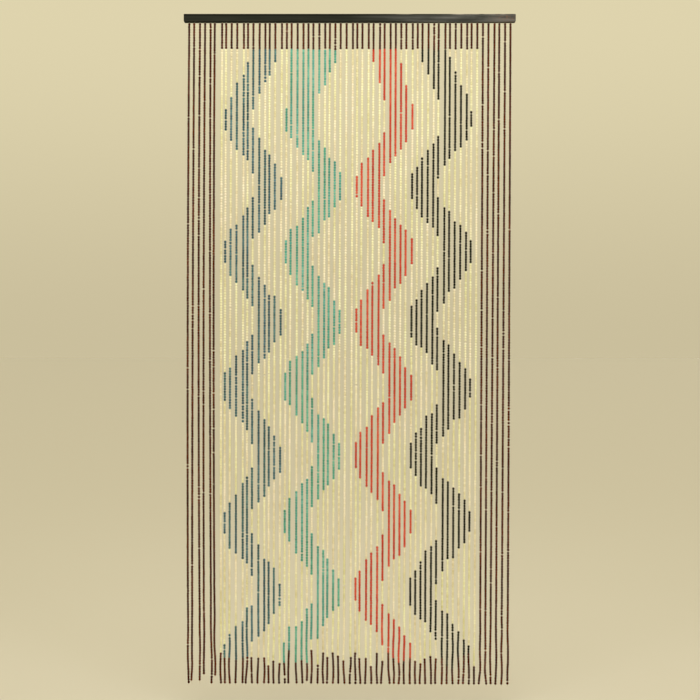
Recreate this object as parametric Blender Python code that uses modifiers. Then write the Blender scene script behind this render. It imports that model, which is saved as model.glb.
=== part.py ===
"""Beaded string curtain: sixty strands that hang from a painted wooden rail.

Metres, +Z up, X along the rail, the front towards -Y.
The origin is the centre of the rail's back face.
"""

import math
import random

import bmesh
import bpy
from mathutils import Matrix

# Rail
RAIL_LENGTH = 1.000
RAIL_DEPTH = 0.020
RAIL_HEIGHT = 0.024
RAIL_EDGE_RADIUS = 0.0012
RAIL_EDGE_STEPS = 2
RAIL_FOOT_CORNER_RADIUS = 0.004
RAIL_FOOT_CORNER_STEPS = 4
SHARP_EDGE_ANGLE = math.radians(40)

# Groove in the rail's underside, and the thread backing that lies in it
GROOVE_WIDTH = 0.006
GROOVE_DEPTH = 0.005
CLEARANCE = 0.0003
BACKING_RECESS = 0.0005
BACKING_OVERHANG = 0.005

# Strands
STRAND_COUNT = 60
STRAND_PITCH = 0.016435
FIRST_STRAND_X = -0.4855
STRAND_RADIUS = 0.0035
STRAND_LENGTH = 1.993
LENGTH_GAIN = 0.004
STRAND_STATIONS = 12
STATION_CROWDING = 1.7
NECK_RADIUS = 0.0010
NECK_LENGTH = 0.0012
SHOULDER_LENGTH = 0.0008
ROOT_SINK = 0.0020

# How the strands hang
HANG_SEED = 11
ROOT_SCATTER = 0.0024
FOOT_SCATTER = 0.0026
LEAN = -0.008
NARROWING = 0.0065
BOW = -0.0035
BOW_REACH = 9.0
ROOT_DEPTH_SCATTER = 0.0006
FOOT_DEPTH_SCATTER = 0.0030
SWAY_SIZE = (0.0005, 0.0020)
SWAY_WAVELENGTH = (0.11, 0.26)
SWAY_ZONE = 0.30
KINK_SIZE = 0.0035
KINK_ZONE = 0.050

# Strands of the left border, which close up in pairs, and those that end short
# strand: (root x, middle x, foot x, how much shorter)
LEFT_BORDER = {
    0: (-0.4840, -0.4890, -0.4870, 0.000),
    1: (-0.4690, -0.4740, -0.4755, 0.008),
    2: (-0.4515, -0.4560, -0.4510, 0.008),
    3: (-0.4360, -0.4410, -0.4390, 0.027),
    4: (-0.4195, -0.4215, -0.4170, 0.000),
    5: (-0.4070, -0.4105, -0.4065, 0.024),
}

# Colours, as linear values
RAIL_BLACK = (0.026, 0.025, 0.018, 1.0)
BEAD_CREAM = (0.72, 0.67, 0.38, 1.0)

RAIL_BOTTOM_Z = -RAIL_HEIGHT / 2
STRAND_Y = -RAIL_DEPTH / 2
LYING_TO_UPRIGHT = Matrix(((0, 1, 0, 0), (0, 0, 1, 0), (1, 0, 0, 0), (0, 0, 0, 1)))


def clear_scene():
    """Removes whatever objects the open file holds."""
    for thing in list(bpy.data.objects):
        bpy.data.objects.remove(thing, do_unlink=True)


def new_collection(name):
    """Adds a collection to the scene."""
    collection = bpy.data.collections.new(name)
    bpy.context.scene.collection.children.link(collection)
    return collection


def new_material(name, colour, roughness):
    """Makes a plain Principled material."""
    material = bpy.data.materials.new(name)
    material.use_nodes = True
    shader = material.node_tree.nodes["Principled BSDF"]
    shader.inputs["Base Color"].default_value = colour
    shader.inputs["Roughness"].default_value = roughness
    shader.inputs["Metallic"].default_value = 0.0
    material.diffuse_color = colour
    return material


def new_box(name, low, high, collection):
    """Makes a box between two corners, with its scale applied."""
    size = [top - bottom for bottom, top in zip(low, high)]
    centre = [(top + bottom) / 2 for bottom, top in zip(low, high)]
    bpy.ops.mesh.primitive_cube_add(size=1.0)
    box = bpy.context.object
    box.name = name
    for vertex in box.data.vertices:
        vertex.co = [centre[axis] + vertex.co[axis] * size[axis] for axis in range(3)]
    for owner in list(box.users_collection):
        owner.objects.unlink(box)
    collection.objects.link(box)
    return box


def add_boolean(thing, tool, operation):
    """Adds an exact Boolean, and marks its tool as a construction shape."""
    boolean = thing.modifiers.new(operation.capitalize(), "BOOLEAN")
    boolean.operation = operation
    boolean.solver = "EXACT"
    boolean.object = tool
    tool.hide_render = True
    tool.display_type = "WIRE"


def backing_span():
    """Gives the ends of the thread backing along X."""
    first = FIRST_STRAND_X - BACKING_OVERHANG
    last = FIRST_STRAND_X + (STRAND_COUNT - 1) * STRAND_PITCH + BACKING_OVERHANG
    return first, last


def round_foot_corners(rail):
    """Rounds the rail's two lower end corners, as seen from the front."""
    shape = bmesh.new()
    shape.from_mesh(rail.data)
    foot_edges = []
    for edge in shape.edges:
        start, end = (vertex.co for vertex in edge.verts)
        runs_in_depth = abs(start.y - end.y) > RAIL_DEPTH / 2
        if runs_in_depth and start.z < 0:
            foot_edges.append(edge)
    bmesh.ops.bevel(
        shape,
        geom=foot_edges,
        offset=RAIL_FOOT_CORNER_RADIUS,
        segments=RAIL_FOOT_CORNER_STEPS,
        profile=0.5,
        affect="EDGES",
    )
    shape.to_mesh(rail.data)
    shape.free()


def make_rail(parts, tools):
    """Makes the batten with its eased edges and the groove under it."""
    half_length = RAIL_LENGTH / 2
    half_height = RAIL_HEIGHT / 2
    rail = new_box(
        "rail",
        (-half_length, -RAIL_DEPTH, -half_height),
        (half_length, 0.0, half_height),
        parts,
    )
    round_foot_corners(rail)
    easing = rail.modifiers.new("Eased edges", "BEVEL")
    easing.width = RAIL_EDGE_RADIUS
    easing.segments = RAIL_EDGE_STEPS
    easing.limit_method = "ANGLE"
    easing.angle_limit = SHARP_EDGE_ANGLE

    first, last = backing_span()
    half_width = GROOVE_WIDTH / 2
    groove = new_box(
        "groove cutter",
        (first - CLEARANCE, STRAND_Y - half_width, RAIL_BOTTOM_Z - GROOVE_DEPTH),
        (last + CLEARANCE, STRAND_Y + half_width, RAIL_BOTTOM_Z + GROOVE_DEPTH),
        tools,
    )
    add_boolean(rail, groove, "DIFFERENCE")
    rail.data.materials.append(new_material("rail black paint", RAIL_BLACK, 0.45))
    return rail


def hanging_rows():
    """Gives each strand the values that its hanging line is drawn from."""
    dice = random.Random(HANG_SEED)
    rows = []
    for strand in range(STRAND_COUNT):
        across = strand / (STRAND_COUNT - 1)
        even_x = FIRST_STRAND_X + strand * STRAND_PITCH
        root = even_x + dice.uniform(-ROOT_SCATTER, ROOT_SCATTER)
        foot = root + LEAN - NARROWING * root + dice.uniform(-FOOT_SCATTER, FOOT_SCATTER)
        middle = (root + foot) / 2 + BOW * math.exp(-strand / BOW_REACH)
        length = STRAND_LENGTH + LENGTH_GAIN * across
        if strand in LEFT_BORDER:
            root, middle, foot, shorter = LEFT_BORDER[strand]
            length -= shorter
        rows.append({
            "root": root,
            "middle": middle,
            "foot": foot,
            "length": length,
            "root_y": STRAND_Y + dice.uniform(-ROOT_DEPTH_SCATTER, ROOT_DEPTH_SCATTER),
            "foot_y": STRAND_Y + dice.uniform(-FOOT_DEPTH_SCATTER, FOOT_DEPTH_SCATTER),
            "sway": dice.uniform(*SWAY_SIZE),
            "wavelength": dice.uniform(*SWAY_WAVELENGTH),
            "phase": dice.uniform(0.0, math.tau),
            "kink": KINK_SIZE * dice.uniform(-1.0, 1.0) ** 3,
        })
    return rows


def ease(value):
    """Rises smoothly from 0 to 1."""
    value = min(max(value, 0.0), 1.0)
    return value * value * (3.0 - 2.0 * value)


def hanging_point(row, drop):
    """Gives a strand's centre at a drop below the rail's underside."""
    share = drop / row["length"]
    straight = row["root"] + (row["foot"] - row["root"]) * share
    belly = row["middle"] - (row["root"] + row["foot"]) / 2
    above_foot = row["length"] - drop
    loose = ease(1.0 - above_foot / SWAY_ZONE)
    sway = row["sway"] * loose * math.sin(row["phase"] + math.tau * drop / row["wavelength"])
    kink = row["kink"] * ease(1.0 - above_foot / KINK_ZONE)
    x = straight + 4.0 * belly * share * (1.0 - share) + sway + kink
    y = row["root_y"] + (row["foot_y"] - row["root_y"]) * share
    return x, y, RAIL_BOTTOM_Z - drop


def strand_stations(row):
    """Lists a strand's drops and radii, closer together towards its foot."""
    bead_top = NECK_LENGTH + SHOULDER_LENGTH
    stations = [(-ROOT_SINK, NECK_RADIUS), (NECK_LENGTH, NECK_RADIUS), (bead_top, STRAND_RADIUS)]
    for step in range(1, STRAND_STATIONS + 1):
        left = 1.0 - step / STRAND_STATIONS
        share = 1.0 - left ** STATION_CROWDING
        drop = bead_top + (row["length"] - bead_top) * share
        stations.append((drop, STRAND_RADIUS))
    return stations


def make_strand_mesh(row):
    """Makes one strand as a closed four-sided mesh along its hanging line.

    The line is drawn lying along X, where Z_UP gives every strand the same
    corners to the front and sides, and the mesh is then turned upright.
    """
    curve = bpy.data.curves.new("strand line", "CURVE")
    curve.dimensions = "3D"
    curve.twist_mode = "Z_UP"
    curve.bevel_depth = 1.0
    curve.bevel_resolution = 0
    curve.use_fill_caps = True
    stations = strand_stations(row)
    line = curve.splines.new("POLY")
    line.points.add(len(stations) - 1)
    for point, (drop, radius) in zip(line.points, stations):
        x, y, z = hanging_point(row, drop)
        point.co = (z, x, y, 1.0)
        point.radius = radius
    carrier = bpy.data.objects.new("strand line", curve)
    bpy.context.scene.collection.objects.link(carrier)
    evaluated = carrier.evaluated_get(bpy.context.evaluated_depsgraph_get())
    mesh = bpy.data.meshes.new_from_object(evaluated)
    mesh.transform(LYING_TO_UPRIGHT)
    bpy.data.objects.remove(carrier, do_unlink=True)
    bpy.data.curves.remove(curve)
    return mesh


def make_strands(parts, tools):
    """Makes the thread backing in the groove with every strand fused to it."""
    bundle = bmesh.new()
    for row in hanging_rows():
        bundle.from_mesh(make_strand_mesh(row))
    bmesh.ops.remove_doubles(bundle, verts=bundle.verts, dist=0.00005)
    bundle_mesh = bpy.data.meshes.new("strand bundle")
    bundle.to_mesh(bundle_mesh)
    bundle.free()
    bundle_object = bpy.data.objects.new("strand bundle", bundle_mesh)
    tools.objects.link(bundle_object)

    first, last = backing_span()
    half_width = GROOVE_WIDTH / 2 - CLEARANCE
    strands = new_box(
        "strands",
        (first, STRAND_Y - half_width, RAIL_BOTTOM_Z + BACKING_RECESS),
        (last, STRAND_Y + half_width, RAIL_BOTTOM_Z + GROOVE_DEPTH - CLEARANCE),
        parts,
    )
    add_boolean(strands, bundle_object, "UNION")
    strands.data.materials.append(new_material("bead cream", BEAD_CREAM, 0.25))
    return strands


def main():
    """Builds the curtain."""
    clear_scene()
    parts = new_collection("string curtain")
    tools = new_collection("construction shapes")
    make_rail(parts, tools)
    make_strands(parts, tools)


main()
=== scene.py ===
"""Dresses the beaded string curtain: beads on threads, staples, rail paint, light and camera."""

import math
import random

import bpy
import numpy as np
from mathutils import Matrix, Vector


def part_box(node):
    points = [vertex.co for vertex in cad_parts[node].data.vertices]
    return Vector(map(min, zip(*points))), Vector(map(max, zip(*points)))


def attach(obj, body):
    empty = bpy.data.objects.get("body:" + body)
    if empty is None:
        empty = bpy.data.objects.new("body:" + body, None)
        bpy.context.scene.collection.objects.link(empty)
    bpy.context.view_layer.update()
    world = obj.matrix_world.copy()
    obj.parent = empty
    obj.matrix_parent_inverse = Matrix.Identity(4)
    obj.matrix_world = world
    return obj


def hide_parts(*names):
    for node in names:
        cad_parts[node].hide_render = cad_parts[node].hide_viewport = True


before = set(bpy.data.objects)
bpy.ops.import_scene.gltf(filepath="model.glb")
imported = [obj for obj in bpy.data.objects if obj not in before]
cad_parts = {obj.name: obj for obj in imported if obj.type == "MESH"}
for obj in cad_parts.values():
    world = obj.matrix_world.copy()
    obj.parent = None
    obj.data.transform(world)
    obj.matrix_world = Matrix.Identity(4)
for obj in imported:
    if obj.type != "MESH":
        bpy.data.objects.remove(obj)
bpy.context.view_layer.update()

# Places taken from the frame
RAIL_LOW, RAIL_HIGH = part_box("rail")
RAIL_BOTTOM_Z = RAIL_LOW.z
STRAND_Y = (RAIL_LOW.y + RAIL_HIGH.y) / 2

# The strands' hanging lines, as in the part
STRAND_COUNT = 60
STRAND_PITCH = 0.016435
FIRST_STRAND_X = -0.4855
STRAND_RADIUS = 0.0035
STRAND_LENGTH = 1.993
LENGTH_GAIN = 0.004
FIRST_BEAD_DROP = 0.0022
HANG_SEED = 11
ROOT_SCATTER = 0.0024
FOOT_SCATTER = 0.0026
LEAN = -0.008
NARROWING = 0.0065
BOW = -0.0035
BOW_REACH = 9.0
ROOT_DEPTH_SCATTER = 0.0006
FOOT_DEPTH_SCATTER = 0.0030
SWAY_SIZE = (0.0005, 0.0020)
SWAY_WAVELENGTH = (0.11, 0.26)
SWAY_ZONE = 0.30
KINK_SIZE = 0.0035
KINK_ZONE = 0.050
DIRECTION_STEP = 0.002

# Strands of the left border, which close up in pairs, and those that end short
# strand: (root x, middle x, foot x, how much shorter)
LEFT_BORDER = {
    0: (-0.4840, -0.4890, -0.4870, 0.000),
    1: (-0.4690, -0.4740, -0.4755, 0.008),
    2: (-0.4515, -0.4560, -0.4510, 0.008),
    3: (-0.4360, -0.4410, -0.4390, 0.027),
    4: (-0.4195, -0.4215, -0.4170, 0.000),
    5: (-0.4070, -0.4105, -0.4065, 0.024),
}

# Beads
PATTERN_SEED = 23
STRINGING_SEED = 24
BEAD_LENGTH = 0.00750
BEAD_LENGTH_SPREAD = 0.030
BEAD_RADIUS_RANGE = (1.02, 1.10)
BEAD_SIDES = 8
# Along the bead as a share of its length, and radius as a share of its widest
BEAD_PROFILE = ((-0.50, 0.43), (-0.26, 0.99), (0.26, 0.99), (0.50, 0.43))
BEAD_POINTS = BEAD_SIDES * len(BEAD_PROFILE)
BEAD_TILT = 0.035
BEAD_OFF_LINE = 0.00012
CLOSE_GAP = (0.00005, 0.00055)
OPEN_GAP = (0.0014, 0.0032)
OPEN_GAP_CHANCE = {"brown": 0.035, "blue": 0.060, "black": 0.040, "turquoise": 0.025}
OPEN_GAP_CHANCE_ELSEWHERE = 0.008
SHARP_RIM_ANGLE = math.radians(60)
# How much of the last bead may pass the foot before the spacing is evened out
LAST_BEAD_OVERHANG = 1 / 3
# A bead's tone and hue lie between 0 and 1: how far they drift along a strand, how far one
# bead departs from its neighbours, and the range of the drift's wavelength
MIDDLE_SHADE = 0.5
TONE = {"drift": 0.24, "spread": 0.26, "wavelength": (0.12, 0.60)}
HUE = {"drift": 0.35, "spread": 0.15, "wavelength": (0.25, 1.10)}
# strand: drop at which one bead is missing
LOST_BEADS = {18: 1.976}
# strand: beads missing at the foot
FEWER_BEADS = {22: 1}

# The bead unrolled in a unit square: its sides fill a band, and its caps are two discs below
MAP_BAND = (0.30, 0.94)
MAP_MARGIN = 0.04
MAP_CAP_RADIUS = 0.10
MAP_CAP_LEVEL = 0.14
# Each cap's place across, and the sense in which its corners run
MAP_CAPS = ((0.25, -1), (0.75, 1))

# The pattern: brown all round a cream field with four wavy bands
BORDER_STRANDS = 6
TOP_BAND_DROP = 0.0798
TOP_BAND_SCATTER = 0.0015
FOOT_BAND_DROP = 1.918
FOOT_BAND_SCATTER = 0.014
FOOT_BAND_LIMIT = 0.030
FIRST_TURN = 0.285
FIRST_RUN_ROUNDING = 0.4
HALF_WAVE = 0.203
ODD_TURN_DELAY = 0.009
TURN_COUNT = 11
PATTERN_STRETCH = 0.003
PATTERN_WANDER = 0.006
WANDER_WAVELENGTH = 0.17
# In strands: a band's centre line, its offset at the top and at the first turn, and half its width
BANDS = {
    "blue": {"centre": 12.0, "start": 2.3, "swing": -3.0, "half": 2.5},
    "turquoise": {"centre": 23.0, "start": 2.3, "swing": -3.0, "half": 2.5},
    "coral": {"centre": 36.0, "start": 0.0, "swing": 3.0, "half": 2.5},
    "black": {"centre": 46.35, "start": -1.6, "swing": 3.35, "half": 2.7},
}
# The turquoise band starts wide: these strands are filled down to this drop
WIDE_START = {"band": "turquoise", "first": 19, "last": 23, "until": 0.330}

# Threads, loops and knots
THREAD_RADIUS = 0.0005
THREAD_SIDES = 4
THREAD_STEPS = 44
LOOP_RISE = 0.0022
LOOP_RADIUS = 0.0014
LOOP_STEPS = 10
LOOP_SPIRAL = 0.0008
LOOP_SEAT = 0.0006
KNOT_RADIUS = 0.0013
KNOT_RINGS = 4
KNOT_SIDES = 6
# Where on a sine's half wave the knot's outline starts and ends
KNOT_END = 0.12
TAIL_LENGTH = (0.001, 0.004)
TAIL_LEAN = 0.6
TAIL_EARLY_LEAN = 0.4
# The tail starts this many knot radii below the foot, and its tip is this share of the thread
TAIL_START = 1.6
TAIL_TIP = 0.7
# strand: length of a tail that hangs long
LONG_TAILS = {1: 0.009, 2: 0.008, 22: 0.006}
THREAD_SEED = 5
# A tube that runs this close to the depth axis turns its section about the X axis instead
NEAR_DEPTH_AXIS = 0.9

# Staples across the groove, one for each thread
STAPLE_SPAN = 0.0086
STAPLE_WIRE = 0.00045
STAPLE_LEG = 0.0020
STAPLE_SIDES = 6
STAPLE_DROP = 0.0008
STAPLE_BEND = 2.0 * STAPLE_WIRE
# How near a staple's bend comes to its corner, as a share of the bend's size
STAPLE_CORNER = 0.3

# Camera and stage
PIXEL = 0.003017
PICTURE_PIXELS = 700
CAMERA_DISTANCE = 4.6
CAMERA_X = 0.0008
CAMERA_Z = -1.000
SENSOR = 36.0
FLOOR_Z = -2.075
FLOOR_REACH = 200.0
BACKDROP_COLOUR = (0.735, 0.655, 0.420, 1.0)
HORIZON_COLOUR = (0.592, 0.520, 0.334, 1.0)
HORIZON_BLEND = 0.22
FLOOR_COLOUR = (0.706, 0.680, 0.608, 1.0)
# lamp: where from, in degrees right of the front and above level; strength; width in degrees
SOFT_LIGHTS = {
    "left light": (-40.0, 10.0, 0.77, 26.0),
    "right light": (38.0, 10.0, 0.95, 26.0),
    "back light": (160.0, 20.0, 0.45, 40.0),
}
LAMP_DISTANCE = 4.0
LIGHT_COLOUR = (1.0, 0.97, 0.93)
HIGH_LIGHT = {"place": (0.0, -1.8, 1.3), "size": (2.2, 0.5), "power": 12.0, "aim_z": -0.20}
HIGH_LIGHT_SPREAD = math.radians(90)

# Colours, as linear values
# Each ends colour goes on a bead's end rings: darker on cream and coral beads, lighter on brown,
# blue, turquoise and black beads as a painted highlight where their ends catch the light
BEAD_COLOURS = {
    "cream": {
        "dark": (0.64, 0.60, 0.36, 1.0),
        "middle": (0.82, 0.80, 0.57, 1.0),
        "light": (0.91, 0.90, 0.72, 1.0),
        "ends": (0.64, 0.58, 0.34, 1.0),
    },
    "brown": {
        "dark": (0.024, 0.002, 0.001, 1.0),
        "middle": (0.060, 0.006, 0.001, 1.0),
        "light": (0.135, 0.021, 0.002, 1.0),
        "ends": (0.090, 0.016, 0.002, 1.0),
    },
    "blue": {
        "dark": (0.012, 0.050, 0.072, 1.0),
        "middle": (0.030, 0.112, 0.150, 1.0),
        "light": (0.120, 0.265, 0.300, 1.0),
        "ends": (0.200, 0.340, 0.350, 1.0),
    },
    "turquoise": {
        "dark": (0.030, 0.215, 0.170, 1.0),
        "middle": (0.072, 0.380, 0.305, 1.0),
        "light": (0.210, 0.560, 0.470, 1.0),
        "ends": (0.300, 0.620, 0.520, 1.0),
    },
    "coral": {
        "dark": (0.400, 0.024, 0.008, 1.0),
        "middle": (0.600, 0.055, 0.022, 1.0),
        "light": (0.760, 0.150, 0.075, 1.0),
        "ends": (0.500, 0.060, 0.028, 1.0),
    },
    "black": {
        "dark": (0.003, 0.003, 0.001, 1.0),
        "middle": (0.005, 0.005, 0.002, 1.0),
        "light": (0.022, 0.024, 0.013, 1.0),
        "ends": (0.036, 0.037, 0.022, 1.0),
    },
}
# Where the middle tone lies between the darkest bead and the lightest
MIDDLE_TONE_PLACE = 0.55

# How strongly the glaze mirrors the lamps: less on dark beads, which it would turn grey
BEAD_GLOSS = 0.16
DARK_BEAD_GLOSS = {"brown": 0.06, "black": 0.09, "blue": 0.11}

# Tints between which the beads drift along a strand
GREENISH_TINT = (0.98, 1.00, 0.86, 1.0)
PINKISH_TINT = (1.00, 0.93, 1.00, 1.0)

THREAD_COLOURS = {"dark": (0.40, 0.34, 0.23, 1.0), "light": (0.72, 0.66, 0.52, 1.0)}
STAPLE_COLOURS = {"clean": (0.66, 0.64, 0.58, 1.0), "tarnished": (0.30, 0.25, 0.18, 1.0)}
RAIL_COLOURS = {
    "black": (0.008, 0.009, 0.006, 1.0),
    "pale grain": (0.019, 0.021, 0.014, 1.0),
    # grey of the streaks towards the right end: partly worn paint, partly a painted sheen
    "sheen_and_wear": (0.106, 0.108, 0.106, 1.0),
    "bare": (0.150, 0.085, 0.060, 1.0),
    "darker_top_edge": (0.002, 0.002, 0.001, 1.0),
    "chipped": (0.42, 0.39, 0.33, 1.0),
}

# Where the rail's wear, its painted sheen and its darker top edge begin and are full, along X from
# the middle and above the middle
SHEEN_AND_WEAR_X = (0.00, 0.34)
WORN_END_X = (0.40, 0.47)
CHIPPED_X = (0.10, 0.24)
FADING_EDGE_X = (0.05, 0.40)
TOP_EDGE_Z = (0.0058, 0.0080)
RIM_Z = (0.0100, 0.0112)

# Places of a Mix node's two colour inputs and its colour output
MIX_FIRST = 6
MIX_SECOND = 7
MIX_RESULT = 2


def hanging_rows():
    """Gives each strand the values that its hanging line is drawn from."""
    dice = random.Random(HANG_SEED)
    rows = []
    for strand in range(STRAND_COUNT):
        across = strand / (STRAND_COUNT - 1)
        even_x = FIRST_STRAND_X + strand * STRAND_PITCH
        root = even_x + dice.uniform(-ROOT_SCATTER, ROOT_SCATTER)
        foot = root + LEAN - NARROWING * root + dice.uniform(-FOOT_SCATTER, FOOT_SCATTER)
        middle = (root + foot) / 2 + BOW * math.exp(-strand / BOW_REACH)
        length = STRAND_LENGTH + LENGTH_GAIN * across
        if strand in LEFT_BORDER:
            root, middle, foot, shorter = LEFT_BORDER[strand]
            length -= shorter
        rows.append({
            "root": root,
            "middle": middle,
            "foot": foot,
            "length": length,
            "root_y": STRAND_Y + dice.uniform(-ROOT_DEPTH_SCATTER, ROOT_DEPTH_SCATTER),
            "foot_y": STRAND_Y + dice.uniform(-FOOT_DEPTH_SCATTER, FOOT_DEPTH_SCATTER),
            "sway": dice.uniform(*SWAY_SIZE),
            "wavelength": dice.uniform(*SWAY_WAVELENGTH),
            "phase": dice.uniform(0.0, math.tau),
            "kink": KINK_SIZE * dice.uniform(-1.0, 1.0) ** 3,
        })
    return rows


def clamp(value, low, high):
    """Keeps a value between two limits."""
    return min(max(value, low), high)


def ease(value):
    """Rises smoothly from 0 to 1."""
    value = clamp(value, 0.0, 1.0)
    return value * value * (3.0 - 2.0 * value)


def slow_wave(phase, wavelength, drop):
    """Gives a wave along a strand, between -1 and 1."""
    return math.sin(phase + math.tau * drop / wavelength)


def hanging_point(row, drop):
    """Gives a strand's centre at a drop below the rail's underside."""
    share = drop / row["length"]
    straight = row["root"] + (row["foot"] - row["root"]) * share
    belly = row["middle"] - (row["root"] + row["foot"]) / 2
    above_foot = row["length"] - drop
    loose = ease(1.0 - above_foot / SWAY_ZONE)
    sway = row["sway"] * loose * slow_wave(row["phase"], row["wavelength"], drop)
    kink = row["kink"] * ease(1.0 - above_foot / KINK_ZONE)
    x = straight + 4.0 * belly * share * (1.0 - share) + sway + kink
    y = row["root_y"] + (row["foot_y"] - row["root_y"]) * share
    return x, y, RAIL_BOTTOM_Z - drop


def hanging_direction(row, drop):
    """Gives the unit direction in which a strand runs down at a drop."""
    above = Vector(hanging_point(row, drop - DIRECTION_STEP))
    below = Vector(hanging_point(row, drop + DIRECTION_STEP))
    return (below - above).normalized()


def turn_drops():
    """Lists the drops at which the wavy bands turn back."""
    drops = []
    for turn in range(TURN_COUNT):
        delay = (turn % 2) * ODD_TURN_DELAY
        drops.append(FIRST_TURN + turn * HALF_WAVE + delay)
    return drops


def band_centre(band, drop):
    """Gives the strand that a wavy band is centred on at a drop."""
    if drop <= FIRST_TURN:
        straight = max(drop - TOP_BAND_DROP, 0.0) / (FIRST_TURN - TOP_BAND_DROP)
        rounded = (1.0 - math.cos(math.pi * straight)) / 2
        share = straight + FIRST_RUN_ROUNDING * (rounded - straight)
        return band["centre"] + band["start"] + (band["swing"] - band["start"]) * share
    turns = turn_drops()
    for turn in range(1, TURN_COUNT):
        if drop <= turns[turn]:
            share = (drop - turns[turn - 1]) / (turns[turn] - turns[turn - 1])
            side = 1 if turn % 2 == 1 else -1
            return band["centre"] + side * band["swing"] * math.cos(math.pi * share)
    return band["centre"]


def foot_band_error(dice):
    """Draws how far a strand's lower brown stretch starts from its place."""
    return clamp(dice.gauss(0.0, FOOT_BAND_SCATTER), -FOOT_BAND_LIMIT, FOOT_BAND_LIMIT)


def pattern_rows():
    """Gives each strand the small errors with which its pattern was strung."""
    dice = random.Random(PATTERN_SEED)
    rows = []
    for _ in range(STRAND_COUNT):
        rows.append({
            "top": TOP_BAND_DROP + dice.uniform(-TOP_BAND_SCATTER, TOP_BAND_SCATTER),
            "foot": FOOT_BAND_DROP + foot_band_error(dice),
            "stretch": dice.gauss(0.0, PATTERN_STRETCH),
            "phase": dice.uniform(0.0, math.tau),
        })
    return rows


def bead_colour(strand, drop, strung):
    """Names the colour of the bead at a drop on a strand."""
    in_border = strand < BORDER_STRANDS or strand >= STRAND_COUNT - BORDER_STRANDS
    if in_border or drop < strung["top"] or drop > strung["foot"]:
        return "brown"
    wander = PATTERN_WANDER * slow_wave(strung["phase"], WANDER_WAVELENGTH, drop)
    meant = drop * (1.0 + strung["stretch"]) + wander
    starts_wide = WIDE_START["first"] <= strand <= WIDE_START["last"]
    if starts_wide and meant < WIDE_START["until"]:
        return WIDE_START["band"]
    for name, band in BANDS.items():
        if abs(strand - band_centre(band, meant)) <= band["half"]:
            return name
    return "cream"


def lay_beads(strand, row, strung, dice):
    """Lists a strand's beads from the top: the drop of the middle, the length and the colour.

    The spacing is evened out so that the last bead ends at the strand's foot.
    """
    beads = []
    drop = FIRST_BEAD_DROP
    while True:
        length = BEAD_LENGTH * (1.0 + dice.uniform(-BEAD_LENGTH_SPREAD, BEAD_LENGTH_SPREAD))
        if drop + length > row["length"] + length * LAST_BEAD_OVERHANG:
            break
        middle = drop + length / 2
        colour = bead_colour(strand, middle, strung)
        lost = strand in LOST_BEADS and abs(middle - LOST_BEADS[strand]) < length / 2
        if not lost:
            beads.append({"drop": middle, "length": length, "colour": colour})
        chance = OPEN_GAP_CHANCE.get(colour, OPEN_GAP_CHANCE_ELSEWHERE)
        gap_range = OPEN_GAP if dice.random() < chance else CLOSE_GAP
        drop += length + dice.uniform(*gap_range)
    end = beads[-1]["drop"] + beads[-1]["length"] / 2
    for bead in beads:
        bead["drop"] *= row["length"] / end
    for _ in range(FEWER_BEADS.get(strand, 0)):
        beads.pop()
    return beads


def bead_rings():
    """Gives the template bead: for each vertex its place along, its radius and its angle."""
    along = []
    radius = []
    angle = []
    for place, share in BEAD_PROFILE:
        for side in range(BEAD_SIDES):
            along.append(place)
            radius.append(share)
            angle.append(math.tau * side / BEAD_SIDES)
    return np.array(along), np.array(radius), np.array(angle)


def bead_faces():
    """Lists the template bead's faces: its sides, then its two end caps."""
    faces = []
    for ring in range(len(BEAD_PROFILE) - 1):
        for side in range(BEAD_SIDES):
            following = (side + 1) % BEAD_SIDES
            here = ring * BEAD_SIDES
            below = here + BEAD_SIDES
            faces.append((here + side, here + following, below + following, below + side))
    last_ring = (len(BEAD_PROFILE) - 1) * BEAD_SIDES
    faces.append(tuple(range(BEAD_SIDES - 1, -1, -1)))
    faces.append(tuple(last_ring + side for side in range(BEAD_SIDES)))
    return faces


def bead_map():
    """Unrolls the template bead into a unit square, in the order of its faces' corners."""
    band_low, band_high = MAP_BAND
    band_width = 1.0 - 2.0 * MAP_MARGIN
    levels = [band_high - (place + 0.5) * (band_high - band_low) for place, _ in BEAD_PROFILE]
    corners = []
    for top, bottom in zip(levels, levels[1:]):
        for side in range(BEAD_SIDES):
            left = MAP_MARGIN + band_width * side / BEAD_SIDES
            right = MAP_MARGIN + band_width * (side + 1) / BEAD_SIDES
            corners += [(left, top), (right, top), (right, bottom), (left, bottom)]
    for cap_x, sense in MAP_CAPS:
        for side in range(BEAD_SIDES):
            turn = sense * math.tau * side / BEAD_SIDES
            across = cap_x + MAP_CAP_RADIUS * math.cos(turn)
            corners.append((across, MAP_CAP_LEVEL + MAP_CAP_RADIUS * math.sin(turn)))
    return np.array(corners)


def bead_points(row, bead, template, dice):
    """Gives the points of one bead on its strand, with a little tilt and play."""
    along, radius, angle = template
    down = hanging_direction(row, bead["drop"])
    tilt = Vector((dice.gauss(0.0, 1.0), dice.gauss(0.0, 1.0), 0.0)) * (BEAD_TILT / 2)
    down = (down + tilt).normalized()
    across = Vector((1.0, 0.0, 0.0))
    across = (across - down * across.dot(down)).normalized()
    forward = down.cross(across)
    nudge = Vector((dice.gauss(0.0, 1.0), dice.gauss(0.0, 1.0), 0.0)) * BEAD_OFF_LINE
    centre = np.array(Vector(hanging_point(row, bead["drop"])) + nudge)
    width = STRAND_RADIUS * dice.uniform(*BEAD_RADIUS_RANGE)
    turned = angle + dice.uniform(0.0, math.tau)
    reach = (radius * width)[:, None]
    return (
        centre
        + (along * bead["length"])[:, None] * np.array(down)
        + reach * np.cos(turned)[:, None] * np.array(across)
        + reach * np.sin(turned)[:, None] * np.array(forward)
    )


def shade_wave(shade, dice):
    """Draws the phase and the wavelength of a shade's drift along one strand."""
    return dice.uniform(0.0, math.tau), dice.uniform(*shade["wavelength"])


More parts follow.
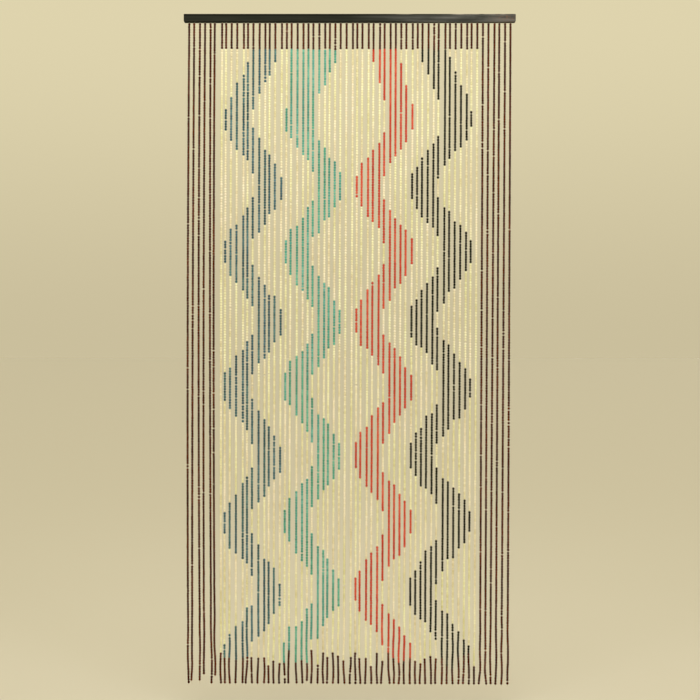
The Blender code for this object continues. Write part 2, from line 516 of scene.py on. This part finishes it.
def bead_shade(shade, wave, drop, dice):
    """Gives one bead's tone or hue: the strand's drift there and the bead's own share."""
    phase, wavelength = wave
    drift = shade["drift"] * slow_wave(phase, wavelength, drop)
    return MIDDLE_SHADE + drift + dice.uniform(-shade["spread"], shade["spread"])


def new_object(name, mesh):
    """Adds a mesh to the scene as a piece that rides on the curtain."""
    piece = bpy.data.objects.new(name, mesh)
    bpy.context.scene.collection.objects.link(piece)
    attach(piece, "root")
    return piece


def strand_mesh(name, beads, points, shades, materials):
    """Joins a strand's beads in one mesh, with their colours, shades and unrolled map."""
    colours = sorted({bead["colour"] for bead in beads})
    template_faces = bead_faces()
    template_map = bead_map()
    per_row = math.ceil(math.sqrt(len(beads)))
    faces = []
    face_colours = []
    map_corners = []
    for number, bead in enumerate(beads):
        start = number * BEAD_POINTS
        faces += [tuple(start + corner for corner in face) for face in template_faces]
        face_colours += [colours.index(bead["colour"])] * len(template_faces)
        cell = np.array((number % per_row, number // per_row))
        map_corners.append((template_map + cell) / per_row)
    mesh = bpy.data.meshes.new(name)
    mesh.from_pydata(np.concatenate(points).tolist(), [], faces)
    for colour in colours:
        mesh.materials.append(materials[colour])
    mesh.polygons.foreach_set("material_index", face_colours)
    for shade, values in shades.items():
        mesh.attributes.new(shade, "FLOAT", "POINT").data.foreach_set("value", values)
    unrolled = mesh.uv_layers.new(name="OFBake")
    unrolled.data.foreach_set("uv", np.concatenate(map_corners).ravel())
    mesh.shade_smooth()
    mesh.set_sharp_from_angle(angle=SHARP_RIM_ANGLE)
    mesh.update()
    return mesh


def make_strand(strand, row, strung, dice, materials):
    """Makes one strand's beads as a joined piece, and lists the beads."""
    beads = lay_beads(strand, row, strung, dice)
    template = bead_rings()
    along = template[0]
    tone_wave = shade_wave(TONE, dice)
    hue_wave = shade_wave(HUE, dice)
    points = []
    tones = []
    hues = []
    for bead in beads:
        points.append(bead_points(row, bead, template, dice))
        tones.append(bead_shade(TONE, tone_wave, bead["drop"], dice))
        hues.append(bead_shade(HUE, hue_wave, bead["drop"], dice))
    shades = {
        "tone": np.repeat(tones, BEAD_POINTS),
        "hue": np.repeat(hues, BEAD_POINTS),
        "end_shade": np.tile(np.abs(along) * 2.0, len(beads)),
    }
    mesh = strand_mesh(f"strand_{strand:02d}", beads, points, shades, materials)
    piece = new_object(mesh.name, mesh)
    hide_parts("strands")
    return beads


def tube(path, radii, sides, points, faces):
    """Adds a closed tube along a path to lists of points and faces."""
    start = len(points)
    count = len(path)
    for number, (place, radius) in enumerate(zip(path, radii)):
        before = Vector(path[max(number - 1, 0)])
        after = Vector(path[min(number + 1, count - 1)])
        direction = (after - before).normalized()
        helper = Vector((0.0, 1.0, 0.0))
        if abs(direction.y) >= NEAR_DEPTH_AXIS:
            helper = Vector((1.0, 0.0, 0.0))
        across = direction.cross(helper).normalized()
        upward = direction.cross(across)
        for side in range(sides):
            turn = math.tau * side / sides
            spot = Vector(place) + (across * math.cos(turn) + upward * math.sin(turn)) * radius
            points.append(tuple(spot))
    for ring in range(count - 1):
        for side in range(sides):
            following = (side + 1) % sides
            here = start + ring * sides
            below = here + sides
            faces.append((here + side, here + following, below + following, below + side))
    faces.append(tuple(start + side for side in range(sides - 1, -1, -1)))
    last = start + (count - 1) * sides
    faces.append(tuple(last + side for side in range(sides)))


def wire_piece(name, points, faces, material):
    """Makes a piece from joined tubes."""
    mesh = bpy.data.meshes.new(name)
    mesh.from_pydata(points, [], faces)
    mesh.materials.append(material)
    mesh.shade_smooth()
    mesh.set_sharp_from_angle(angle=SHARP_RIM_ANGLE)
    return new_object(name, mesh)


def thread_line(row, foot):
    """Lists the points of a thread from its loop down to the strand's foot."""
    path = []
    for step in range(THREAD_STEPS + 1):
        drop = -LOOP_RISE + (foot + LOOP_RISE) * step / THREAD_STEPS
        path.append(hanging_point(row, drop))
    return path


def loop_line(row):
    """Lists the points of a thread's loop around its staple."""
    x, y, _ = hanging_point(row, 0.0)
    middle_z = RAIL_BOTTOM_Z - STAPLE_DROP + LOOP_SEAT
    path = []
    for step in range(LOOP_STEPS + 1):
        turn = math.tau * step / LOOP_STEPS
        path.append((
            x + LOOP_RADIUS * math.sin(turn),
            y - LOOP_SPIRAL * math.cos(turn / 2),
            middle_z + LOOP_RADIUS * math.cos(turn),
        ))
    return path


def add_knot(place, down, points, faces):
    """Adds a small round knot below a point of a thread."""
    path = []
    radii = []
    for ring in range(KNOT_RINGS + 1):
        share = ring / KNOT_RINGS
        path.append(tuple(place + down * (share * 2.0 * KNOT_RADIUS)))
        radii.append(KNOT_RADIUS * math.sin(math.pi * (KNOT_END + (1.0 - 2.0 * KNOT_END) * share)))
    tube(path, radii, KNOT_SIDES, points, faces)


def add_tail(strand, foot_point, down, dice, points, faces):
    """Adds the loose end of a thread below its knot."""
    length = LONG_TAILS.get(strand, dice.uniform(*TAIL_LENGTH))
    lean_x = dice.uniform(-TAIL_LEAN, TAIL_LEAN)
    lean_y = dice.uniform(-TAIL_LEAN / 2, TAIL_LEAN / 2)
    lean = Vector((lean_x, lean_y, 0.0))
    start = foot_point + down * (TAIL_START * KNOT_RADIUS)
    half_way = start + (down + lean * TAIL_EARLY_LEAN) * length / 2
    path = [tuple(start), tuple(half_way), tuple(start + (down + lean) * length)]
    tube(path, [THREAD_RADIUS, THREAD_RADIUS, THREAD_RADIUS * TAIL_TIP], THREAD_SIDES, points, faces)


def make_threads(rows, laid, material):
    """Makes the threads, each with its loop at the rail, its two knots and its tail."""
    dice = random.Random(THREAD_SEED)
    points = []
    faces = []
    for strand, (row, beads) in enumerate(zip(rows, laid)):
        foot = beads[-1]["drop"] + beads[-1]["length"] / 2
        for path in (thread_line(row, foot), loop_line(row)):
            tube(path, [THREAD_RADIUS] * len(path), THREAD_SIDES, points, faces)
        foot_point = Vector(hanging_point(row, foot))
        down = hanging_direction(row, foot)
        add_knot(Vector(hanging_point(row, 0.0)), down, points, faces)
        add_knot(foot_point, down, points, faces)
        add_tail(strand, foot_point, down, dice, points, faces)
    piece = wire_piece("threads", points, faces, material)
    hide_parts("strands")


def staple_line(x):
    """Lists the points of a staple, from its front leg across the groove to its back leg."""
    front = STRAND_Y - STAPLE_SPAN / 2
    back = STRAND_Y + STAPLE_SPAN / 2
    low = RAIL_BOTTOM_Z - STAPLE_DROP
    high = RAIL_BOTTOM_Z + STAPLE_LEG
    cut = STAPLE_BEND * STAPLE_CORNER
    return [
        (x, front, high),
        (x, front, low + STAPLE_BEND),
        (x, front + cut, low + cut),
        (x, front + STAPLE_BEND, low),
        (x, back - STAPLE_BEND, low),
        (x, back - cut, low + cut),
        (x, back, low + STAPLE_BEND),
        (x, back, high),
    ]


def make_staples(rows, material):
    """Makes the wire staples that cross the groove and hold each thread's loop."""
    points = []
    faces = []
    for row in rows:
        x, _, _ = hanging_point(row, 0.0)
        path = staple_line(x)
        tube(path, [STAPLE_WIRE] * len(path), STAPLE_SIDES, points, faces)
    piece = wire_piece("staples", points, faces, material)


class Nodes:
    """Builds one material's node tree with short calls."""

    def __init__(self, name):
        self.material = bpy.data.materials.new(name)
        self.material.use_nodes = True
        self.tree = self.material.node_tree
        self.shader = self.tree.nodes["Principled BSDF"]

    def add(self, kind, settings=None, **inputs):
        """Adds a node, sets its properties, and links or sets its inputs by name."""
        node = self.tree.nodes.new(kind)
        for name, value in (settings or {}).items():
            setattr(node, name, value)
        for name, value in inputs.items():
            self.feed(node.inputs[name.replace("_", " ")], value)
        return node

    def feed(self, socket, value):
        """Links an output to a socket, or sets the socket's value."""
        if isinstance(value, bpy.types.NodeSocket):
            self.tree.links.new(value, socket)
        else:
            socket.default_value = value

    def noise(self, vector, scale, detail=2.0, roughness=0.5):
        """Adds a noise texture and returns its value."""
        settings = {"Vector": vector, "Scale": scale, "Detail": detail, "Roughness": roughness}
        return self.add("ShaderNodeTexNoise", **settings).outputs["Fac"]

    def remap(self, value, source, target=(0.0, 1.0)):
        """Maps a value from one range to another, clamped."""
        node = self.add("ShaderNodeMapRange")
        self.feed(node.inputs["Value"], value)
        for place, number in enumerate((*source, *target), start=1):
            node.inputs[place].default_value = number
        return node.outputs["Result"]

    def multiply(self, first, second):
        """Multiplies two values."""
        node = self.add("ShaderNodeMath", {"operation": "MULTIPLY"})
        self.feed(node.inputs[0], first)
        self.feed(node.inputs[1], second)
        return node.outputs["Value"]

    def mix(self, factor, first, second, blend="MIX"):
        """Mixes two colours."""
        node = self.add("ShaderNodeMix", {"data_type": "RGBA", "blend_type": blend})
        self.feed(node.inputs["Factor"], factor)
        self.feed(node.inputs[MIX_FIRST], first)
        self.feed(node.inputs[MIX_SECOND], second)
        return node.outputs[MIX_RESULT]

    def attribute(self, name):
        """Reads a value that the mesh carries at its points."""
        return self.add("ShaderNodeAttribute", {"attribute_name": name}).outputs["Fac"]

    def place(self, stretch=(1.0, 1.0, 1.0)):
        """Gives object coordinates, stretched along the axes."""
        spot = self.add("ShaderNodeTexCoord").outputs["Object"]
        node = self.add("ShaderNodeMapping", Vector=spot, Scale=stretch)
        return node.outputs["Vector"]

    def bump(self, height, strength, distance):
        """Feeds a height to the shader's normal."""
        node = self.add("ShaderNodeBump", Height=height, Strength=strength, Distance=distance)
        self.feed(self.shader.inputs["Normal"], node.outputs["Normal"])


def bead_material(name, colours):
    """Makes a glossy bead: a tone for each bead, a cloudy glaze, and ends of a colour of their own,
    lighter on dark beads as a painted highlight.
    """
    nodes = Nodes(f"bead {name}")
    ramp = nodes.add("ShaderNodeValToRGB", Fac=nodes.attribute("tone"))
    ramp.color_ramp.elements[0].color = colours["dark"]
    ramp.color_ramp.elements[1].color = colours["light"]
    ramp.color_ramp.elements.new(MIDDLE_TONE_PLACE).color = colours["middle"]
    spot = nodes.place()
    cloud = nodes.noise(spot, scale=420.0, detail=3.0, roughness=0.6)
    cloudiness = nodes.remap(cloud, (0.35, 0.75), (0.0, 0.50))
    clouded = nodes.mix(cloudiness, ramp.outputs["Color"], colours["dark"])
    # The end rings take the ends colour, which on the dark beads is a painted highlight
    end_share = nodes.remap(nodes.attribute("end_shade"), (0.55, 1.0), (0.0, 0.60))
    shaded = nodes.mix(end_share, clouded, colours["ends"])
    tint = nodes.mix(nodes.attribute("hue"), GREENISH_TINT, PINKISH_TINT)
    nodes.feed(nodes.shader.inputs["Base Color"], nodes.mix(1.0, shaded, tint, "MULTIPLY"))
    fine = nodes.noise(spot, scale=1500.0)
    nodes.feed(nodes.shader.inputs["Roughness"], nodes.remap(fine, (0.3, 0.7), (0.14, 0.30)))
    nodes.shader.inputs["Specular IOR Level"].default_value = DARK_BEAD_GLOSS.get(name, BEAD_GLOSS)
    nodes.bump(cloud, strength=0.12, distance=0.0004)
    return nodes.material


def thread_material():
    """Makes pale twisted cotton."""
    nodes = Nodes("cotton thread")
    twist = nodes.noise(nodes.place((1.0, 1.0, 0.35)), scale=2600.0, roughness=0.6)
    lightness = nodes.remap(twist, (0.3, 0.7))
    colour = nodes.mix(lightness, THREAD_COLOURS["dark"], THREAD_COLOURS["light"])
    nodes.feed(nodes.shader.inputs["Base Color"], colour)
    nodes.shader.inputs["Roughness"].default_value = 0.85
    nodes.bump(twist, strength=0.4, distance=0.0002)
    return nodes.material


def staple_material():
    """Makes dull steel wire with a little tarnish."""
    nodes = Nodes("staple wire")
    tarnish = nodes.noise(nodes.place(), scale=900.0, detail=3.0, roughness=0.6)
    dulled = nodes.remap(tarnish, (0.45, 0.75))
    colour = nodes.mix(dulled, STAPLE_COLOURS["clean"], STAPLE_COLOURS["tarnished"])
    nodes.feed(nodes.shader.inputs["Base Color"], colour)
    nodes.shader.inputs["Metallic"].default_value = 1.0
    nodes.feed(nodes.shader.inputs["Roughness"], nodes.remap(tarnish, (0.3, 0.7), (0.25, 0.55)))
    return nodes.material


def rail_material():
    """Makes worn black paint on wood, greyer and streakier towards the right end, where the grey is
    partly rubbed paint and partly a painted sheen.
    """
    nodes = Nodes("rail paint")
    grain = nodes.noise(nodes.place((7.0, 120.0, 300.0)), scale=1.0, detail=5.0, roughness=0.62)
    blotch = nodes.noise(nodes.place((9.0, 60.0, 70.0)), scale=1.0, detail=4.0, roughness=0.6)
    speck = nodes.noise(nodes.place((130.0, 300.0, 300.0)), scale=1.0, detail=3.0, roughness=0.6)
    parts = nodes.add("ShaderNodeSeparateXYZ", Vector=nodes.place())
    place_x = parts.outputs["X"]
    place_z = parts.outputs["Z"]

    # Black paint with its grain, grey in streaks towards the right: partly rubbed paint, partly a
    # painted sheen
    black = nodes.mix(grain, RAIL_COLOURS["black"], RAIL_COLOURS["pale grain"])
    sheen_and_wear_side = nodes.remap(place_x, SHEEN_AND_WEAR_X, (0.05, 1.0))
    sheen_and_wear = nodes.multiply(sheen_and_wear_side, nodes.remap(blotch, (0.36, 0.58), (0.35, 1.0)))
    streaked = nodes.multiply(sheen_and_wear, nodes.remap(grain, (0.38, 0.60), (0.30, 1.0)))
    greyed = nodes.mix(streaked, black, RAIL_COLOURS["sheen_and_wear"])

    # Specks of bare wood at the right end
    worn_end = nodes.remap(place_x, WORN_END_X)
    bare_specks = nodes.multiply(worn_end, nodes.remap(speck, (0.48, 0.62), (0.0, 0.75)))
    bared = nodes.mix(bare_specks, greyed, RAIL_COLOURS["bare"])

    # Darker along the top edge, less so towards the right, and chips on the rim
    top_edge = nodes.remap(place_z, TOP_EDGE_Z)
    darker_top_edge_share = nodes.multiply(top_edge, nodes.remap(place_x, FADING_EDGE_X, (1.0, 0.30)))
    edged = nodes.mix(darker_top_edge_share, bared, RAIL_COLOURS["darker_top_edge"])
    chipped_side = nodes.remap(place_x, CHIPPED_X)
    chips = nodes.multiply(chipped_side, nodes.remap(blotch, (0.54, 0.60)))
    rim_chips = nodes.multiply(nodes.remap(place_z, RIM_Z), chips)
    colour = nodes.mix(rim_chips, edged, RAIL_COLOURS["chipped"])

    nodes.feed(nodes.shader.inputs["Base Color"], colour)
    nodes.feed(nodes.shader.inputs["Roughness"], nodes.remap(grain, (0.3, 0.7), (0.42, 0.62)))
    nodes.shader.inputs["Specular IOR Level"].default_value = 0.05
    nodes.bump(grain, strength=0.25, distance=0.0006)
    return nodes.material


def plain_material(name, colour, roughness):
    """Makes a plain stage material."""
    material = bpy.data.materials.new(name)
    material.use_nodes = True
    shader = material.node_tree.nodes["Principled BSDF"]
    shader.inputs["Base Color"].default_value = colour
    shader.inputs["Roughness"].default_value = roughness
    return material


def paint_rail():
    """Gives the rail its painted finish."""
    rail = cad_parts["rail"]
    rail.data.materials.clear()
    rail.data.materials.append(rail_material())


def make_floor():
    """Makes the pale floor."""
    bpy.ops.mesh.primitive_plane_add(size=2 * FLOOR_REACH, location=(0.0, 0.0, FLOOR_Z))
    floor = bpy.context.object
    floor.name = "floor"
    floor.data.materials.append(plain_material("pale floor", FLOOR_COLOUR, 1.0))
    floor.visible_glossy = False


def make_room():
    """Makes the plain room around the curtain, a little darker towards the horizon."""
    world = bpy.data.worlds.new("pale room")
    bpy.context.scene.world = world
    world.use_nodes = True
    tree = world.node_tree
    direction = tree.nodes.new("ShaderNodeTexCoord")
    parts = tree.nodes.new("ShaderNodeSeparateXYZ")
    rise = tree.nodes.new("ShaderNodeMapRange")
    rise.interpolation_type = "SMOOTHSTEP"
    rise.inputs["From Max"].default_value = HORIZON_BLEND
    blend = tree.nodes.new("ShaderNodeMix")
    blend.data_type = "RGBA"
    blend.inputs[MIX_FIRST].default_value = HORIZON_COLOUR
    blend.inputs[MIX_SECOND].default_value = BACKDROP_COLOUR
    tree.links.new(direction.outputs["Generated"], parts.inputs["Vector"])
    tree.links.new(parts.outputs["Z"], rise.inputs["Value"])
    tree.links.new(rise.outputs["Result"], blend.inputs["Factor"])
    tree.links.new(blend.outputs[MIX_RESULT], tree.nodes["Background"].inputs["Color"])
    world.cycles_visibility.glossy = False


def add_lamp(name, kind, power, direction):
    """Adds a lamp that shines along a direction and isn't seen itself."""
    light = bpy.data.lights.new(name, kind)
    light.energy = power
    light.color = LIGHT_COLOUR
    lamp = bpy.data.objects.new(name, light)
    lamp.rotation_euler = direction.to_track_quat("-Z", "Y").to_euler()
    lamp.visible_camera = False
    bpy.context.scene.collection.objects.link(lamp)
    return lamp


def make_lights():
    """Lights the curtain softly and evenly from both sides and from behind, and more at the top."""
    for name, (turn, height, strength, width) in SOFT_LIGHTS.items():
        turn = math.radians(turn)
        height = math.radians(height)
        source = Vector((
            math.sin(turn) * math.cos(height),
            -math.cos(turn) * math.cos(height),
            math.sin(height),
        ))
        lamp = add_lamp(name, "SUN", strength, -source)
        lamp.location = source * LAMP_DISTANCE
        lamp.data.angle = math.radians(width)
    place = Vector(HIGH_LIGHT["place"])
    aim = Vector((0.0, STRAND_Y, HIGH_LIGHT["aim_z"]))
    lamp = add_lamp("high light", "AREA", HIGH_LIGHT["power"], aim - place)
    lamp.location = place
    lamp.data.shape = "RECTANGLE"
    lamp.data.size, lamp.data.size_y = HIGH_LIGHT["size"]
    lamp.data.spread = HIGH_LIGHT_SPREAD


def make_camera():
    """Places the camera square to the curtain, as in the photograph."""
    camera = bpy.data.cameras.new("camera")
    camera.sensor_width = SENSOR
    camera.lens = SENSOR * CAMERA_DISTANCE / (PIXEL * PICTURE_PIXELS)
    carrier = bpy.data.objects.new("camera", camera)
    carrier.location = (CAMERA_X, STRAND_Y - CAMERA_DISTANCE, CAMERA_Z)
    carrier.rotation_euler = (math.pi / 2, 0.0, 0.0)
    bpy.context.scene.collection.objects.link(carrier)
    bpy.context.scene.camera = carrier


def main():
    """Dresses the frame."""
    make_camera()
    rows = hanging_rows()
    strung_rows = pattern_rows()
    dice = random.Random(STRINGING_SEED)
    materials = {name: bead_material(name, colours) for name, colours in BEAD_COLOURS.items()}
    laid = []
    for strand in range(STRAND_COUNT):
        laid.append(make_strand(strand, rows[strand], strung_rows[strand], dice, materials))
    make_threads(rows, laid, thread_material())
    make_staples(rows, staple_material())
    paint_rail()
    make_floor()
    make_room()
    make_lights()
    bpy.context.scene.view_settings.view_transform = "Standard"


main()
